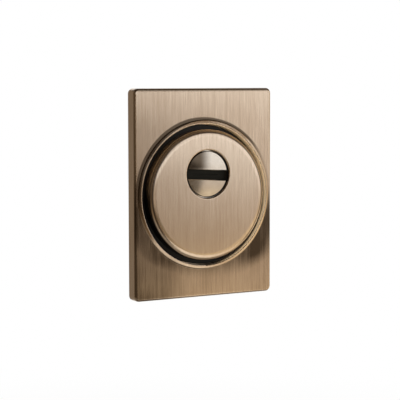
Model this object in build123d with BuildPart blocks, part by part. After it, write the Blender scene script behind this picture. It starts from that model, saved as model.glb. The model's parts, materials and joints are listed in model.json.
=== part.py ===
from build123d import *
from math import asin, cos, radians, sin, sqrt
import os

# Security escutcheon for a profile cylinder: a rimmed cover plate, and a round boss with a slotted key disc.
# Millimetres. X is right, Z is up and the front faces -Y. The door is the plane y = 0.
# The boss's axis is the Y axis. A depth is a distance out from the door, along -Y.

# Cover plate, pressed from brass sheet
plate_width = 60.0
plate_height = 80.0
plate_depth = 5.0
plate_rise = 0.6  # middle of the plate above the boss's axis
plate_sheet = 1.2
plate_corner_radius = 2.0
plate_inside_radius = 0.8
plate_edge_radius = 1.0

# Raised rim round the plate's opening, and the ledge at the opening's foot
rim_radius = 27.1
rim_height = 0.9
rim_top_width = 1.25  # slopes gently outwards
rim_top_fall = 0.4
rim_wall_width = 0.3  # steep, from the shoulder down to the plate
rim_crest_radius = 0.3
rim_shoulder_radius = 0.3
rim_foot_radius = 0.2
ledge_width = 3.5

# Key on the ledge that keeps the plate square on the body
square_key_width = 4.0
square_key_reach = 1.5

# Boss cap, drawn from brass sheet
cap_depth = 8.0
cap_sheet = 1.2
cap_crown_width = 1.7  # soft rounding from the flat face towards the edge
cap_crown_radius = 5.0
cap_edge_radius = 1.5
cap_corner_radius = 0.5  # inside

# Body
flange_thickness = 1.8
flange_edge = 0.3
lip_thickness = 1.3
fixing_spacing = 38.0
fixing_tap_radius = 2.5
fixing_hole_length = 5.8
fixing_mouth = 0.3

# Profile cylinder that the back of the body makes room for
cylinder_height = 33.0
cylinder_head = 17.0
cylinder_stem = 10.0
cylinder_proud = 2.9

# Key disc
disc_radius = 8.7
disc_recess = 0.35
disc_crown = 0.4  # middle of the disc's face in front of its edge
disc_flange_width = 1.9
disc_flange_thickness = 1.0
disc_edge = 0.2
slot_width = 3.8
slot_drop = 0.3  # middle of the slot below the disc's axis
slot_turn = 3.4  # degrees clockwise at rest, seen from the front
disc_hole_edge_radius = 0.5

# Rubber dust seal behind the disc, whose rib fills the back of the slot
seal_sheet = 0.5
seal_depth = 2.0  # front of the rib below the disc's front
seal_groove_width = 0.3  # groove along the lips, which stay closed with no key in them
seal_groove_length = 11.0
seal_groove_depth = 0.4

# Conical spring washer and retaining ring behind the disc
washer_sheet = 0.3
washer_dish = 0.3
washer_width = 1.2
ring_thickness = 0.8
ring_width = 1.7
ring_groove_depth = 0.6
ring_gap = 6.0
ring_lug_radius = 1.5
ring_lug_hole_radius = 0.7

# Clearances
boss_gap = 2.1  # open ring between the rim and the boss
body_shy = 0.1  # back of the body short of the door, so that the flange clamps the ledge
spigot_fit = 0.1
flange_fit = 0.3
cap_fit = 0.05
disc_gap = 0.5
disc_fit = 0.05
disc_play = 0.05
seal_fit = 0.05
cylinder_fit = 0.25
ring_fit = 0.05
washer_fit = 0.2

# Sizes that follow
ledge_radius = rim_radius - ledge_width
flange_radius = rim_radius - flange_fit
flange_front = plate_sheet + flange_thickness
cap_radius = rim_radius - boss_gap
cap_inside_radius = cap_radius - cap_sheet
cap_inside_front = cap_depth - cap_sheet
core_radius = cap_inside_radius - cap_fit
key_rise = (cylinder_height - cylinder_head) / 2
stem_radius = cylinder_stem / 2 + cylinder_fit
stem_end = key_rise + cylinder_head / 2 - cylinder_height - cylinder_fit
disc_hole_radius = disc_radius + disc_gap
disc_flange_radius = disc_radius + disc_flange_width
disc_front = cap_depth - disc_recess
bore_radius = disc_flange_radius + disc_fit
lip_back = cap_inside_front - lip_thickness
disc_shoulder = lip_back - disc_play
disc_back = disc_shoulder - disc_flange_thickness
washer_front = disc_back - disc_play
ring_front = washer_front - washer_sheet - washer_dish
ring_back = ring_front - ring_thickness
groove_radius = bore_radius + ring_groove_depth
washer_radius = bore_radius - washer_fit
ring_radius = groove_radius - ring_fit
seal_radius = washer_radius - washer_width - washer_fit
seal_back = disc_back - seal_sheet
seal_front = disc_front - seal_depth
stem_front = body_shy + cylinder_proud

# Half-sections are drawn with the radius across and the depth up
boss_section = Plane(origin=(0, 0, 0), x_dir=(1, 0, 0), z_dir=(0, 0, -1))
key_section = Plane(origin=(0, 0, key_rise), x_dir=(1, 0, 0), z_dir=(0, 0, -1))
key_axis = Axis((0, 0, key_rise), (0, 1, 0))

# The slot's own plane on the door, with the slot along its x direction
slot_run = (cos(radians(slot_turn)), 0, -sin(radians(slot_turn)))
slot_plane = Plane(origin=(0, 0, key_rise), x_dir=slot_run, z_dir=(0, -1, 0))

os.makedirs("parts", exist_ok=True)


def circles_of_radius(part, radius):
    """The part's round edges of this radius, the one nearest the front first."""
    rounds = part.edges().filter_by(GeomType.CIRCLE)
    return rounds.filter_by(lambda edge: abs(edge.radius - radius) < 1e-6).sort_by(Axis.Y)


# Cover plate: a shallow tray with a drawn cup in its middle, whose mouth is the raised rim
rim_crest = plate_depth + rim_height
rim_shoulder = rim_radius + rim_top_width
rim_foot = rim_shoulder + rim_wall_width
rim_end = rim_foot + rim_foot_radius
cup_outside_radius = rim_radius + plate_sheet
square_key_root = ledge_radius + ledge_width / 2
square_key_tip = ledge_radius - square_key_reach

with BuildPart() as cover_plate:
    with BuildSketch(Plane.XZ):
        with Locations((0, plate_rise)):
            RectangleRounded(plate_width, plate_height, plate_corner_radius)
    extrude(amount=plate_depth)
    fillet(cover_plate.faces().sort_by(Axis.Y)[0].edges(), plate_edge_radius)
    with BuildSketch(Plane.XZ):
        with Locations((0, plate_rise)):
            RectangleRounded(
                plate_width - 2 * plate_sheet,
                plate_height - 2 * plate_sheet,
                plate_inside_radius,
            )
    extrude(amount=plate_depth - plate_sheet, mode=Mode.SUBTRACT)
    with BuildSketch(Plane.XZ):
        Circle(cup_outside_radius)
    extrude(amount=plate_depth, mode=Mode.SUBTRACT)
    with BuildSketch(boss_section):
        with BuildLine():
            Polyline(
                (rim_end, plate_depth),
                (rim_foot, plate_depth),
                (rim_shoulder, rim_crest - rim_top_fall),
                (rim_radius, rim_crest),
                (rim_radius, plate_sheet),
                (ledge_radius, plate_sheet),
                (ledge_radius, 0),
                (cup_outside_radius, 0),
                (cup_outside_radius, plate_depth - plate_sheet),
                (rim_end, plate_depth - plate_sheet),
                close=True,
            )
        make_face()
        fillet(vertices().group_by(Axis.Y)[-3].sort_by(Axis.X)[0], rim_foot_radius)
        fillet(vertices().sort_by(Axis.Y)[-2], rim_shoulder_radius)
        fillet(vertices().sort_by(Axis.Y)[-1], rim_crest_radius)
    revolve(axis=Axis.Y)
    with BuildSketch(Plane.XZ):
        with Locations((0, -(square_key_root + square_key_tip) / 2)):
            Rectangle(square_key_width, square_key_root - square_key_tip)
    extrude(amount=plate_sheet)
cover_plate.part.label = "cover_plate"

# Boss cap: face, rounded edge and skirt, with the hole that the disc shows through
crown_slope = asin(cap_crown_width / cap_crown_radius)
crown_end_radius = cap_radius - cap_edge_radius * (1 - sin(crown_slope))
crown_end_depth = cap_depth - cap_crown_radius * (1 - cos(crown_slope))
cap_face_radius = crown_end_radius - cap_crown_width
cap_edge_depth = crown_end_depth - cap_edge_radius * cos(crown_slope)
with BuildPart() as boss_cap:
    with BuildSketch(boss_section):
        with BuildLine():
            Line((0, cap_depth), (cap_face_radius, cap_depth))
            RadiusArc(
                (cap_face_radius, cap_depth),
                (crown_end_radius, crown_end_depth),
                cap_crown_radius,
            )
            RadiusArc(
                (crown_end_radius, crown_end_depth),
                (cap_radius, cap_edge_depth),
                cap_edge_radius,
            )
            Polyline(
                (cap_radius, cap_edge_depth),
                (cap_radius, flange_front),
                (cap_inside_radius, flange_front),
                (cap_inside_radius, cap_inside_front),
                (0, cap_inside_front),
                (0, cap_depth),
            )
        make_face()
    revolve(axis=Axis.Y)
    fillet(circles_of_radius(boss_cap, cap_inside_radius)[0], cap_corner_radius)
    with BuildSketch(Plane.XZ):
        with Locations((0, key_rise)):
            Circle(disc_hole_radius)
    extrude(amount=cap_depth, mode=Mode.SUBTRACT)
    fillet(circles_of_radius(boss_cap, disc_hole_radius)[0], disc_hole_edge_radius)
boss_cap.part.label = "boss_cap"

# Body: spigot through the ledge, flange on the ledge and core inside the cap
spigot_radius = ledge_radius - spigot_fit
with BuildPart() as defender_body:
    with BuildSketch(boss_section):
        with BuildLine():
            Polyline(
                (0, body_shy),
                (spigot_radius, body_shy),
                (spigot_radius, plate_sheet),
                (flange_radius, plate_sheet),
                (flange_radius, flange_front),
                (core_radius, flange_front),
                (core_radius, cap_inside_front),
                (0, cap_inside_front),
                close=True,
            )
        make_face()
    revolve(axis=Axis.Y)
    chamfer(circles_of_radius(defender_body, core_radius)[0], cap_corner_radius)
    chamfer(circles_of_radius(defender_body, flange_radius)[0], flange_edge)
    # Hole in the front lip, bore for the disc and groove for the ring
    with BuildSketch(Plane.XZ):
        with Locations((0, key_rise)):
            Circle(disc_hole_radius)
    extrude(amount=cap_depth, mode=Mode.SUBTRACT)
    with BuildSketch(Plane.XZ):
        with Locations((0, key_rise)):
            Circle(bore_radius)
    extrude(amount=lip_back, mode=Mode.SUBTRACT)
    with BuildSketch(Plane.XZ.offset(ring_back - ring_fit)):
        with Locations((0, key_rise)):
            Circle(groove_radius)
    extrude(amount=ring_thickness + 2 * ring_fit, mode=Mode.SUBTRACT)
    # Pocket for the cylinder's stem
    with BuildSketch(Plane.XZ):
        with Locations((0, (key_rise + stem_end + stem_radius) / 2)):
            Rectangle(2 * stem_radius, key_rise - stem_end - stem_radius)
        with Locations((0, stem_end + stem_radius)):
            Circle(stem_radius)
    extrude(amount=stem_front, mode=Mode.SUBTRACT)
    # Tapped holes for the fixing screws
    with BuildSketch(Plane.XZ):
        with GridLocations(fixing_spacing, 0, 2, 1):
            Circle(fixing_tap_radius)
    extrude(amount=body_shy + fixing_hole_length, mode=Mode.SUBTRACT)
    fixing_mouths = circles_of_radius(defender_body, fixing_tap_radius).group_by(Axis.Y)[-1]
    chamfer(fixing_mouths, fixing_mouth)
    # Notch for the key on the plate's ledge
    with BuildSketch(Plane.XZ):
        with Locations((0, -(spigot_radius + square_key_tip - spigot_fit) / 2)):
            Rectangle(
                square_key_width + 2 * spigot_fit,
                spigot_radius - square_key_tip + spigot_fit,
            )
    extrude(amount=plate_sheet, mode=Mode.SUBTRACT)
defender_body.part.label = "defender_body"

# Key disc: two half-moons in the cap's hole, joined by the flange behind the lip
disc_edge_depth = disc_front - disc_crown
disc_face_radius = (disc_radius**2 + disc_crown**2) / (2 * disc_crown)
with BuildPart() as key_disc:
    with BuildSketch(key_section):
        with BuildLine():
            RadiusArc((0, disc_front), (disc_radius, disc_edge_depth), disc_face_radius)
            Polyline(
                (disc_radius, disc_edge_depth),
                (disc_radius, disc_shoulder),
                (disc_flange_radius, disc_shoulder),
                (disc_flange_radius, disc_back),
                (0, disc_back),
                (0, disc_front),
            )
        make_face()
    revolve(axis=key_axis)
    with BuildSketch(slot_plane):
        with Locations((0, -slot_drop)):
            Rectangle(2 * disc_radius, slot_width)
    extrude(amount=disc_front, mode=Mode.SUBTRACT)
    chamfer(key_disc.faces().sort_by(Axis.Y)[:2].edges(), disc_edge)
key_disc.part.label = "key_disc"

# Dust seal: a rubber plate on the disc's back, whose rib plugs into the slot
with BuildPart() as dust_seal:
    with BuildSketch(slot_plane.offset(seal_back)):
        Circle(seal_radius)
    extrude(amount=seal_sheet)
    with BuildSketch(slot_plane.offset(disc_back)):
        with Locations((0, -slot_drop)):
            Rectangle(2 * (disc_radius - seal_fit), slot_width - 2 * seal_fit)
    extrude(amount=seal_front - disc_back)
    with BuildSketch(slot_plane.offset(seal_front)):
        with Locations((0, -slot_drop)):
            SlotOverall(seal_groove_length, seal_groove_width)
    extrude(amount=-seal_groove_depth, mode=Mode.SUBTRACT)
dust_seal.part.label = "dust_seal"

# Conical spring washer between the disc and the ring
with BuildPart() as spring_washer:
    with BuildSketch(key_section):
        with BuildLine():
            Polyline(
                (washer_radius, ring_front),
                (washer_radius, ring_front + washer_sheet),
                (washer_radius - washer_width, washer_front),
                (washer_radius - washer_width, washer_front - washer_sheet),
                close=True,
            )
        make_face()
    revolve(axis=key_axis)
spring_washer.part.label = "spring_washer"

# Retaining ring, open at the bottom between its two lugs
lug_circle_radius = ring_radius - ring_lug_radius
lug_across = ring_gap / 2 + ring_lug_radius
lug_down = sqrt(lug_circle_radius**2 - lug_across**2)
with BuildPart() as retaining_ring:
    with BuildSketch(Plane.XZ.offset(ring_back)):
        with Locations((0, key_rise)):
            Circle(ring_radius)
            Circle(ring_radius - ring_width, mode=Mode.SUBTRACT)
        with Locations((0, key_rise - ring_radius / 2)):
            Rectangle(ring_gap, ring_radius, mode=Mode.SUBTRACT)
        with Locations((-lug_across, key_rise - lug_down), (lug_across, key_rise - lug_down)):
            Circle(ring_lug_radius)
            Circle(ring_lug_hole_radius, mode=Mode.SUBTRACT)
    extrude(amount=ring_thickness)
retaining_ring.part.label = "retaining_ring"

pieces = (cover_plate, boss_cap, defender_body, key_disc, dust_seal, spring_washer, retaining_ring)
for piece in pieces:
    export_step(piece.part, f"parts/{piece.part.label}.step")
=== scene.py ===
import json
import math

import bmesh
import bpy
from mathutils import Matrix, Vector


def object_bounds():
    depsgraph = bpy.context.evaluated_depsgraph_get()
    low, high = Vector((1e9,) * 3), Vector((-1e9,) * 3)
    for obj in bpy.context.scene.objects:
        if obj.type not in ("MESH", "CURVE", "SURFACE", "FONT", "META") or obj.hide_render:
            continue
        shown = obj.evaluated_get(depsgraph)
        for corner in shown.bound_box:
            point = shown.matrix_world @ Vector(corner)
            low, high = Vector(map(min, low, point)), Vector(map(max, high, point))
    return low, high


# Security escutcheon in brushed antique brass. Metres, in the part's own frame:
# X is right, Z is up, the front faces -Y and the boss's axis is the Y axis.
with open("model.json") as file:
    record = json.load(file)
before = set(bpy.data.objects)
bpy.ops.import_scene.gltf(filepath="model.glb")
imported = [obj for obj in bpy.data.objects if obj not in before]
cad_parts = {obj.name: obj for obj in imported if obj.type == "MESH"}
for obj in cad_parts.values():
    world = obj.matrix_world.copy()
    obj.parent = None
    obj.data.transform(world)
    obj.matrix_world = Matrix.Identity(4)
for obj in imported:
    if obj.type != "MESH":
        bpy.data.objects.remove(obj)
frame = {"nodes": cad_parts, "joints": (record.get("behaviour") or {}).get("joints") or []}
cad_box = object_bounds()

MM = 0.001
KEY_RISE = frame["joints"][0]["pos_m"][2]  # the key disc's axis above the boss's axis
WALL_RADIUS = 27.1 * MM  # inside of the plate's cup

# Camera, at the photograph's viewing angle
CAMERA_YAW = 29.45  # degrees to the left of the front
CAMERA_PITCH = 4.83  # degrees above the horizon
CAMERA_ROLL = -0.106  # degrees
CAMERA_AIM = Vector((-2.01, -5.0, -2.0)) * MM
CAMERA_DISTANCE = 535.2 * MM
CAMERA_LENS = 126.0  # millimetres

# Colours of the metal
PLATE_LIGHT = (0.86, 0.70, 0.55)
PLATE_DARK = (0.70, 0.54, 0.40)
CAP_LIGHT = (0.92, 0.77, 0.62)
CAP_DARK = (0.76, 0.60, 0.46)
DISC_LIGHT = (0.86, 0.79, 0.70)
DISC_DARK = (0.74, 0.66, 0.57)
MATT_GOLD = (0.95, 0.69, 0.40)  # the plate's wall round the gap
PAINTED_SHADE = (0.11, 0.078, 0.05)  # painted shade and painted dark reflections
PAINTED_GAP_SHADE = (0.03, 0.022, 0.015)  # darker painted shade, down in a gap

# Brushing
FINE_STREAKS = (2300, 2300, 130)  # noise cells to a metre along X, Y and Z
BROAD_STREAKS = (1500, 1500, 22)
BRASS_CLOUDS = (75, 75, 50)
STREAK_HEIGHT = 1.6e-6
CAP_BOW = 0.42 * MM  # a slight bow of the cap's face, seen only in its shading
BOW_MIDDLE = -8.0 * MM  # height of the face's foremost line
BOW_REACH = 22.0 * MM  # distance up or down from there at which the face has fallen by its bow

# Studio
FLOOR_DROP = 0.12  # floor below the plate's lower edge
FLOOR_HEIGHT = cad_box[0][2] - FLOOR_DROP
FLOOR_SIZE = 12.0
FLOOR_COLOUR = (0.86, 0.85, 0.83, 1)
FLOOR_SHADOW = 0.45  # share of the floor's look that takes shadows
SHADOW_NEAR = 0.1  # distances between which the floor fades to white
SHADOW_FAR = 0.45
WHITE = (1, 1, 1, 1)
FILL_LEVEL = 0.75  # the world's strength for diffuse light
CARD_DISTANCE = 0.70
CARD_LOWEST = FLOOR_HEIGHT + 0.005  # the cards stop just above the floor
CARD_STEPS = 24  # faces along each side of a card

# Colours of the cards
DARK_BROWN = (0.08, 0.058, 0.036)
BROWN = (0.22, 0.16, 0.10)
TAN = (0.54, 0.45, 0.36)
GOLD = (0.92, 0.76, 0.52)
OCHRE = (0.58, 0.46, 0.28)
WHITE_CARD = (1.0, 0.99, 0.98)
GREY = (0.25, 0.22, 0.18)
CREAM = (1.0, 0.93, 0.82)
REAR_LOW = (0.235, 0.20, 0.16)
REAR_HIGH = (0.22, 0.18, 0.14)
DIM = (0.33, 0.25, 0.165)


# Node helpers

def new_material(name):
    """A material with a node tree: (material, tree, principled shader)."""
    material = bpy.data.materials.new(name)
    material.use_nodes = True
    tree = material.node_tree
    return material, tree, tree.nodes["Principled BSDF"]


def set_inputs(tree, node, inputs):
    """Sets the node's sockets. An input is a value, or another node's output to link to the socket."""
    for key, value in inputs.items():
        if isinstance(value, bpy.types.NodeSocket):
            tree.links.new(value, node.inputs[key])
        else:
            node.inputs[key].default_value = value


def add(tree, kind, inputs=(), **settings):
    """A node of this kind, with its settings and inputs."""
    node = tree.nodes.new(kind)
    for key, value in settings.items():
        setattr(node, key, value)
    set_inputs(tree, node, dict(inputs))
    return node


def place(tree, scale=(1, 1, 1), turn=0.0, origin=(0, 0, 0)):
    """The point's place on the object in metres, counted from origin, turned about Y and scaled."""
    coords = add(tree, "ShaderNodeTexCoord").outputs["Object"]
    shifted = add(tree, "ShaderNodeVectorMath", {0: coords, 1: origin}, operation="SUBTRACT").outputs[0]
    inputs = {"Vector": shifted, "Rotation": (0, math.radians(turn), 0), "Scale": scale}
    return add(tree, "ShaderNodeMapping", inputs).outputs[0]


def axes(tree, rise=0.0):
    """The point's place on the object, counted from the boss's axis or from this far above it: (x, y, z)."""
    parts = add(tree, "ShaderNodeSeparateXYZ", {0: place(tree, origin=(0, 0, rise))}).outputs
    return parts["X"], parts["Y"], parts["Z"]


def from_axis(tree, rise=0.0):
    """The point's distance from the boss's axis, or from one this far above it."""
    point = place(tree, (1, 0, 1), origin=(0, 0, rise))
    return add(tree, "ShaderNodeVectorMath", {0: point}, operation="LENGTH").outputs[1]


def noise(tree, vector, detail=3.0, roughness=0.55):
    """Noise over a vector, from 0 to 1."""
    inputs = {"Vector": vector, "Scale": 1.0, "Detail": detail, "Roughness": roughness}
    return add(tree, "ShaderNodeTexNoise", inputs).outputs[0]


def lathe_rings(tree, radius, scale):
    """Fine rings from a lathe: noise along the radius."""
    inputs = {"W": radius, "Scale": scale, "Detail": 3.0}
    return add(tree, "ShaderNodeTexNoise", inputs, noise_dimensions="1D").outputs[0]


def spread(tree, value, low, high, to_low, to_high, smooth=False):
    """A value taken from one range to another, and held at its ends."""
    inputs = {"Value": value, "From Min": low, "From Max": high, "To Min": to_low, "To Max": to_high}
    kind = "SMOOTHSTEP" if smooth else "LINEAR"
    return add(tree, "ShaderNodeMapRange", inputs, interpolation_type=kind).outputs[0]


def fade(tree, value, start, end, low=0.0, high=1.0):
    """From low to high, smoothly, as a length goes from start to end, both in millimetres."""
    return spread(tree, value, start * MM, end * MM, low, high, smooth=True)


def math_of(tree, operation, a, b=0.0, c=0.0):
    """A sum, product or the like of two or three values."""
    return add(tree, "ShaderNodeMath", {0: a, 1: b, 2: c}, operation=operation).outputs[0]


def product(tree, *values):
    """All these values multiplied."""
    result = values[0]
    for value in values[1:]:
        result = math_of(tree, "MULTIPLY", result, value)
    return result


def largest(tree, *values):
    """The largest of these values."""
    result = values[0]
    for value in values[1:]:
        result = math_of(tree, "MAXIMUM", result, value)
    return result


def weighted(tree, a, b, share):
    """A mean of two values, with this share of the first."""
    rest = math_of(tree, "MULTIPLY", b, 1.0 - share)
    return math_of(tree, "ADD", math_of(tree, "MULTIPLY", a, share), rest)


def blend(tree, factor, a, b):
    """Colour a where the factor is 0, and b where it is 1."""
    first, second = (c if isinstance(c, bpy.types.NodeSocket) else (*c, 1) for c in (a, b))
    # In a mix of colours, these are sockets 6 and 7, and the result is output 2.
    inputs = {"Factor": factor, 6: first, 7: second}
    return add(tree, "ShaderNodeMix", inputs, data_type="RGBA").outputs[2]


def bump(tree, height, distance, normal=None):
    """A bump of this height in metres, on top of another bump if one is given."""
    inputs = {"Height": height, "Distance": distance, "Strength": 1.0}
    if normal is not None:
        inputs["Normal"] = normal
    return add(tree, "ShaderNodeBump", inputs).outputs[0]


# Materials

def plate_painted_shade(tree, colour, uneven):
    """Painted shade and dark reflections: dark low beside the rim, in the lower corners and in a line at the
    rim's foot, with a darker line along the top edge."""
    x, y, z = axes(tree)
    radius = from_axis(tree)
    front = fade(tree, y, -4.0, -4.9)
    tilted = math_of(tree, "ADD", z, spread(tree, x, -10 * MM, 10 * MM, 0.0, 8 * MM))
    # painted dark reflections low beside the rim and in the lower corners
    beside_rim = product(
        tree,
        fade(tree, radius, 32.5, 41, 0.95, 0.0),
        fade(tree, tilted, 15, 0),
        fade(tree, z, -33, -23, 0.1, 1.0),
    )
    left = product(
        tree,
        fade(tree, x, -2, -26, 0.0, 0.78),
        fade(tree, z, -24, -8, 0.9, 1.0),
        largest(tree, fade(tree, z, 34, 22, 0.0, 0.18), fade(tree, z, 17, -1)),
    )
    right = product(tree, fade(tree, x, 4, 26, 0.0, 0.16), fade(tree, z, -8, -20))
    off_rim = fade(tree, radius, 28.1, 28.9)
    patches = product(tree, off_rim, front, largest(tree, beside_rim, left, right), uneven)
    inner = spread(tree, x, -15 * MM, -4 * MM, 27.5 * MM, 28.15 * MM)
    outer = spread(tree, x, -8 * MM, 6 * MM, 30.1 * MM, 29.8 * MM)
    # painted shade in a line along the rim's foot
    foot = product(
        tree,
        fade(tree, math_of(tree, "SUBTRACT", radius, inner), 0, 0.35),
        fade(tree, math_of(tree, "SUBTRACT", outer, radius), 0, 0.6),
        fade(tree, z, -14, 2, 0.25, 0.9),
        fade(tree, x, 20, 27, 1.0, 0.2),
        front,
    )
    # a darker line along the top edge
    top_edge = product(tree, fade(tree, z, 39.2, 39.8, 0.0, 0.75), fade(tree, y, -2.5, -4.0))
    return blend(tree, largest(tree, patches, foot, top_edge), colour, PAINTED_SHADE)


def cap_painted_shade(tree, colour, uneven):
    """Painted shade on the cap's skirt and in the disc's hole, down in the gaps, and a painted dark
    reflection along the face's edge.
    """
    x, y, z = axes(tree)
    radius = from_axis(tree)
    upper = fade(tree, x, -18, -4, -7.5 * MM, -6.9 * MM)
    # painted shade on the skirt, down in the gap
    skirt = product(
        tree,
        fade(tree, math_of(tree, "SUBTRACT", y, upper), 0, 0.5),
        fade(tree, z, -6, 12, 1.35, 0.4),
        uneven,
    )
    # painted shade in the disc's hole
    outer = spread(tree, x, -6 * MM, 6 * MM, 9.48 * MM, 9.27 * MM)
    hole = fade(tree, math_of(tree, "SUBTRACT", outer, from_axis(tree, KEY_RISE)), 0, 0.08)
    colour = blend(tree, largest(tree, skirt, hole), colour, PAINTED_GAP_SHADE)
    # painted dark reflection along the face's edge
    edge = product(
        tree,
        fade(tree, radius, 23.45, 23.7, 0.0, 0.8),
        fade(tree, radius, 24.0, 24.3, 1.0, 0.0),
        fade(tree, z, -22, -16),
    )
    return blend(tree, edge, colour, PAINTED_SHADE)


def cup_wall(tree):
    """1 on the plate's wall round the gap, which no brush reached, and 0 elsewhere."""
    y = axes(tree)[1]
    near = math_of(tree, "COMPARE", from_axis(tree), WALL_RADIUS, 0.1 * MM)
    return math_of(tree, "MULTIPLY", near, spread(tree, y, -5.75 * MM, -5.6 * MM, 0.0, 1.0))


def wall_gold_and_painted_shade(tree):
    """Gold on the upper part of the plate's wall, and near its crest at the right, and painted shade lower in
    the gap elsewhere.
    """
    x, y, z = axes(tree)
    crest = product(tree, fade(tree, x, 3, 14), fade(tree, y, -4.0, -4.6))
    return blend(tree, largest(tree, fade(tree, z, -14, 2), crest), PAINTED_SHADE, MATT_GOLD)


def face_bow(tree):
    """The slight bow of the cap's face, up and down, as a bump."""
    along = math_of(tree, "SUBTRACT", axes(tree)[2], BOW_MIDDLE)
    ends = math_of(tree, "POWER", math_of(tree, "MULTIPLY", along, 1 / BOW_REACH), 2.0)
    return bump(tree, math_of(tree, "MULTIPLY", ends, -CAP_BOW), 1.0)


def brushed_brass(name, light, dark, softness, turn, roughness, anisotropy):
    """Antique brass, brushed upright or turned from that by some degrees, with a thin clear lacquer:
    (material, tree, shader, colour, fine streaks, unevenness of the painted shade)."""
    material, tree, shader = new_material(name)
    fine = noise(tree, place(tree, FINE_STREAKS, turn), detail=4.0, roughness=0.6)
    broad = noise(tree, place(tree, BROAD_STREAKS, turn), detail=3.0, roughness=0.7)
    clouds = noise(tree, place(tree, BRASS_CLOUDS), detail=2.0)
    streaks = weighted(tree, fine, broad, 0.5)
    tone = weighted(tree, streaks, clouds, 0.7)
    colour = blend(tree, spread(tree, tone, 0.5 - softness, 0.5 + softness, 0.0, 1.0), dark, light)
    uneven = spread(tree, math_of(tree, "ADD", streaks, clouds), 0.82, 1.18, 1.15, 0.7)
    set_inputs(tree, shader, {
        "Roughness": spread(tree, streaks, 0.35, 0.65, roughness * 1.12, roughness * 0.9),
        "Anisotropic": anisotropy,
        "Coat Weight": 0.2,
        "Coat Roughness": 0.14,
    })
    return material, tree, shader, colour, fine, uneven


def plate_brass(name):
    """The plate's brass, with a matt wall round the gap."""
    material, tree, shader, colour, fine, uneven = brushed_brass(
        name, PLATE_LIGHT, PLATE_DARK, softness=0.125, turn=0.0, roughness=0.20, anisotropy=0.92
    )
    wall = cup_wall(tree)
    set_inputs(tree, shader, {
        "Base Color": blend(tree, wall, plate_painted_shade(tree, colour, uneven), wall_gold_and_painted_shade(tree)),
        "Metallic": spread(tree, wall, 0.0, 1.0, 1.0, 0.0),
        "Normal": bump(tree, fine, STREAK_HEIGHT),
    })
    return material


def cap_brass(name):
    """The cap's brass, brushed a little aslant, on a slightly bowed face."""
    material, tree, shader, colour, fine, uneven = brushed_brass(
        name, CAP_LIGHT, CAP_DARK, softness=0.165, turn=4.0, roughness=0.24, anisotropy=0.80
    )
    set_inputs(tree, shader, {
        "Base Color": cap_painted_shade(tree, colour, uneven),
        "Metallic": 1.0,
        "Normal": bump(tree, fine, STREAK_HEIGHT, normal=face_bow(tree)),
    })
    return material


def turned_steel(name):
    """Steel plated like the brass and turned on a lathe, with a painted dark reflection at the disc's upper
    left.
    """
    material, tree, shader = new_material(name)
    x, _, z = axes(tree, KEY_RISE)
    rings = lathe_rings(tree, from_axis(tree, KEY_RISE), 4200.0)
    clouds = noise(tree, place(tree, (260, 260, 260)), detail=3.0)
    tone = spread(tree, weighted(tree, rings, clouds, 0.5), 0.35, 0.65, 0.0, 1.0)
    # painted dark reflection at the disc's upper left
    painted_dark_reflection = product(tree, fade(tree, x, 2.5, -3.5, 0.0, 0.95), fade(tree, z, 0.5, 3))
    set_inputs(tree, shader, {
        "Base Color": blend(tree, painted_dark_reflection, blend(tree, tone, DISC_DARK, DISC_LIGHT), PAINTED_SHADE),
        "Metallic": 1.0,
        "Roughness": spread(tree, rings, 0.3, 0.7, 0.17, 0.13),
        "Anisotropic": 0.5,
        "Anisotropic Rotation": 0.25,
        "Tangent": add(tree, "ShaderNodeTangent", direction_type="RADIAL", axis="Y").outputs[0],
        "Normal": bump(tree, rings, 0.5e-6),
    })
    return material


def black_steel(name):
    """Hardened steel with a black oxide skin, turned on its faces."""
    material, tree, shader = new_material(name)
    rings = lathe_rings(tree, from_axis(tree), 2600.0)
    clouds = noise(tree, place(tree, (180, 180, 180)), detail=4.0)
    tone = spread(tree, weighted(tree, rings, clouds, 0.4), 0.3, 0.7, 0.0, 1.0)
    set_inputs(tree, shader, {
        "Base Color": blend(tree, tone, (0.006, 0.005, 0.005), (0.02, 0.018, 0.016)),
        "Metallic": 0.6,
        "Roughness": spread(tree, clouds, 0.3, 0.7, 0.34, 0.5),
        "Normal": bump(tree, rings, 3.0e-6),
    })
    return material


def spring_steel(name):
    """Phosphated spring steel: grey and slightly mottled."""
    material, tree, shader = new_material(name)
    clouds = noise(tree, place(tree, (900, 900, 900)), detail=4.0, roughness=0.7)
    tone = spread(tree, clouds, 0.3, 0.7, 0.0, 1.0)
    set_inputs(tree, shader, {
        "Base Color": blend(tree, tone, (0.20, 0.20, 0.21), (0.38, 0.38, 0.39)),
        "Metallic": 1.0,
        "Roughness": spread(tree, clouds, 0.3, 0.7, 0.42, 0.3),
        "Normal": bump(tree, clouds, 4.0e-6),
    })
    return material


def black_rubber(name):
    """Matt black rubber with a faint moulded grain."""
    material, tree, shader = new_material(name)
    grain = noise(tree, place(tree, (5000, 5000, 5000)), detail=3.0)
    set_inputs(tree, shader, {
        "Base Color": blend(tree, grain, (0.003, 0.003, 0.002), (0.008, 0.007, 0.004)),
        "Roughness": spread(tree, grain, 0.3, 0.7, 0.5, 0.65),
        "Specular IOR Level": 0.2,
        "Normal": bump(tree, grain, 6.0e-6),
    })
    return material


finishes = {
    "cover_plate": plate_brass("brushed_plate"),
    "boss_cap": cap_brass("brushed_cap"),
    "key_disc": turned_steel("turned_disc"),
    "dust_seal": black_rubber("black_rubber"),
    "defender_body": black_steel("black_steel"),
}
spring = spring_steel("spring_steel")
for node in ("spring_washer", "retaining_ring"):
    finishes[node] = spring
for node, material in finishes.items():
    frame["nodes"][node].material_slots[0].material = material


# Studio: a white world, a pale floor, and cards that only reflections see, as round a photographer's table

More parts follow.
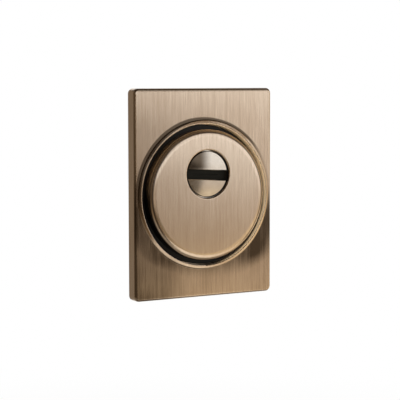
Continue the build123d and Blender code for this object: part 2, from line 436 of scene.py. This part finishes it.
def in_view(tree):
    """1 for rays from the camera, in reflections and through glass, and 0 for the rest."""
    rays = add(tree, "ShaderNodeLightPath").outputs
    return largest(tree, rays["Is Camera Ray"], rays["Is Glossy Ray"], rays["Is Transmission Ray"])


def white_world():
    """White for the camera and in reflections, and a softer fill for diffuse light."""
    world = bpy.data.worlds.new("studio")
    bpy.context.scene.world = world
    world.use_nodes = True
    tree = world.node_tree
    strength = spread(tree, in_view(tree), 0.0, 1.0, FILL_LEVEL, 1.0)
    set_inputs(tree, tree.nodes["Background"], {"Color": WHITE, "Strength": strength})


def pale_floor():
    """A pale floor that keeps shadows near the object and fades into the white further out."""
    mesh = bpy.data.meshes.new("floor")
    shape = bmesh.new()
    bmesh.ops.create_grid(shape, x_segments=1, y_segments=1, size=FLOOR_SIZE / 2)
    shape.to_mesh(mesh)
    shape.free()
    floor = bpy.data.objects.new("floor", mesh)
    floor.location = (0, 0, FLOOR_HEIGHT)
    bpy.context.scene.collection.objects.link(floor)
    material, tree, shader = new_material("pale_floor")
    set_inputs(tree, shader, {"Base Color": FLOOR_COLOUR, "Roughness": 0.9, "Specular IOR Level": 0.0})
    coords = add(tree, "ShaderNodeTexCoord").outputs["Object"]
    reach = add(tree, "ShaderNodeVectorMath", {0: coords}, operation="LENGTH").outputs[1]
    white_share = spread(tree, reach, SHADOW_NEAR, SHADOW_FAR, 1.0 - FLOOR_SHADOW, 1.0, smooth=True)
    glow = add(tree, "ShaderNodeEmission", {"Color": WHITE, "Strength": 1.0})
    mixed = add(tree, "ShaderNodeMixShader", {
        0: math_of(tree, "MULTIPLY", in_view(tree), white_share),
        1: shader.outputs[0],
        2: glow.outputs[0],
    })
    tree.links.new(mixed.outputs[0], tree.nodes["Material Output"].inputs["Surface"])
    mesh.materials.append(material)


def direction(azimuth, elevation):
    """Unit vector from the object: degrees to the right of the front, and above the horizon."""
    a, e = math.radians(azimuth), math.radians(elevation)
    return Vector((math.sin(a) * math.cos(e), -math.cos(a) * math.cos(e), math.sin(e)))


def card(name, azimuths, elevations, colour, top_colour=None):
    """A curved card round the object between these angles, never under the floor. Only reflections see it.
    It glows in one colour, or from that colour at its lower edge to another at its upper edge."""
    mesh = bpy.data.meshes.new(name)
    shape = bmesh.new()
    rows = []
    for j in range(CARD_STEPS + 1):
        elevation = elevations[0] + (elevations[1] - elevations[0]) * j / CARD_STEPS
        rows.append([])
        for i in range(CARD_STEPS + 1):
            azimuth = azimuths[0] + (azimuths[1] - azimuths[0]) * i / CARD_STEPS
            toward = direction(azimuth, elevation)
            # How far it is to the lowest level: beyond the card where the direction isn't downward
            to_lowest = CARD_LOWEST / min(toward.z, -0.001)
            rows[-1].append(shape.verts.new(toward * min(CARD_DISTANCE, to_lowest)))
    for low, high in zip(rows, rows[1:]):
        for i in range(CARD_STEPS):
            shape.faces.new((low[i], low[i + 1], high[i + 1], high[i]))
    shape.to_mesh(mesh)
    shape.free()
    ob = bpy.data.objects.new(name, mesh)
    bpy.context.scene.collection.objects.link(ob)
    material, tree, shader = new_material(name)
    glow = (*colour, 1)
    if top_colour is not None:
        point = add(tree, "ShaderNodeNewGeometry").outputs["Position"]
        toward = add(tree, "ShaderNodeVectorMath", {0: point}, operation="NORMALIZE").outputs[0]
        rise = add(tree, "ShaderNodeSeparateXYZ", {0: toward}).outputs["Z"]
        low, high = (math.sin(math.radians(e)) for e in elevations)
        glow = blend(tree, spread(tree, rise, low, high, 0.0, 1.0), colour, top_colour)
    set_inputs(tree, shader, {
        "Base Color": (0, 0, 0, 1),
        "Specular IOR Level": 0.0,
        "Emission Color": glow,
        "Emission Strength": 1.0,
    })
    mesh.materials.append(material)
    ob.visible_camera = False
    ob.visible_diffuse = False
    ob.visible_transmission = False
    ob.visible_shadow = False


def area_light(name, azimuth, elevation, distance, size, power):
    """A soft lamp that aims at the object, and that neither the camera nor reflections show."""
    data = bpy.data.lights.new(name, "AREA")
    data.shape = "DISK"
    data.size = size
    data.energy = power
    lamp = bpy.data.objects.new(name, data)
    toward = direction(azimuth, elevation)
    lamp.location = toward * distance
    lamp.rotation_euler = toward.to_track_quat("Z", "Y").to_euler()
    lamp.visible_glossy = False
    lamp.visible_camera = False
    bpy.context.scene.collection.objects.link(lamp)


white_world()
pale_floor()
card("left_card", (-110, -4), (4, 65), DARK_BROWN)
card("left_low_card", (-110, -4), (-9, 4), DARK_BROWN)
card("left_tan_card", (-4, 14), (-9, 4), TAN)
card("left_corner_card", (-4, 9), (15, 29), DARK_BROWN)
card("stand_card", (14, 26), (-9, 2), DARK_BROWN)
card("stand_top_card", (14, 21.5), (2, 4), DARK_BROWN)
card("top_card", (-4, 62), (29, 65), BROWN, DARK_BROWN)
card("top_right_card", (46, 62), (18, 29), BROWN)
card("ceiling_card", (-180, 180), (65, 88), DARK_BROWN)
card("right_card", (62, 130), (-14, 65), OCHRE, BROWN)
card("front_card", (26, 62), (-9, 3), TAN, WHITE_CARD)
card("table_far", (25, 100), (-15, -9), GOLD, TAN)
card("table_middle", (25, 39), (-28, -15), GOLD)
card("table_dim", (39, 50), (-28, -15), DIM)
card("table_right", (50, 100), (-28, -15), GOLD)
card("table_front", (-8, 42), (-40, -28), CREAM)
card("table_front_low", (6, 42), (-48, -40), CREAM)
card("table_corner", (-8, 6), (-48, -40), GREY)
card("table_side", (-110, -8), (-48, -28), GREY)
card("table_front_right", (42, 100), (-48, -28), DIM, GOLD)
card("table_left", (-110, 25), (-28, -9), BROWN, DARK_BROWN)
card("table_near", (-180, 180), (-88, -48), GREY)
card("rear_card", (-178, -110), (-15, 5), REAR_LOW, REAR_HIGH)
card("rear_top_card", (-178, -110), (5, 65), REAR_HIGH)
card("rear_low_card", (-178, -110), (-48, -15), GREY, REAR_LOW)
area_light("key_lamp", azimuth=35, elevation=50, distance=1.2, size=0.7, power=6.0)
area_light("fill_lamp", azimuth=-36, elevation=-5, distance=0.8, size=0.3, power=4.0)


def set_camera():
    """The camera, turned and placed by the angles above."""
    yaw, pitch, roll = (math.radians(a) for a in (CAMERA_YAW, CAMERA_PITCH, CAMERA_ROLL))
    level = math.cos(pitch)
    back = Vector((-math.sin(yaw) * level, -math.cos(yaw) * level, math.sin(pitch)))
    right = (-back).cross(Vector((0, 0, 1))).normalized()
    up = back.cross(right)
    c, s = math.cos(roll), math.sin(roll)
    right, up = c * right + s * up, c * up - s * right
    data = bpy.data.cameras.new("camera")
    data.lens = CAMERA_LENS
    camera = bpy.data.objects.new("camera", data)
    matrix = Matrix((right, up, back)).transposed().to_4x4()
    matrix.translation = CAMERA_AIM + back * CAMERA_DISTANCE
    camera.matrix_world = matrix
    bpy.context.scene.collection.objects.link(camera)
    bpy.context.scene.camera = camera


set_camera()
bpy.context.scene.view_settings.view_transform = "Standard"
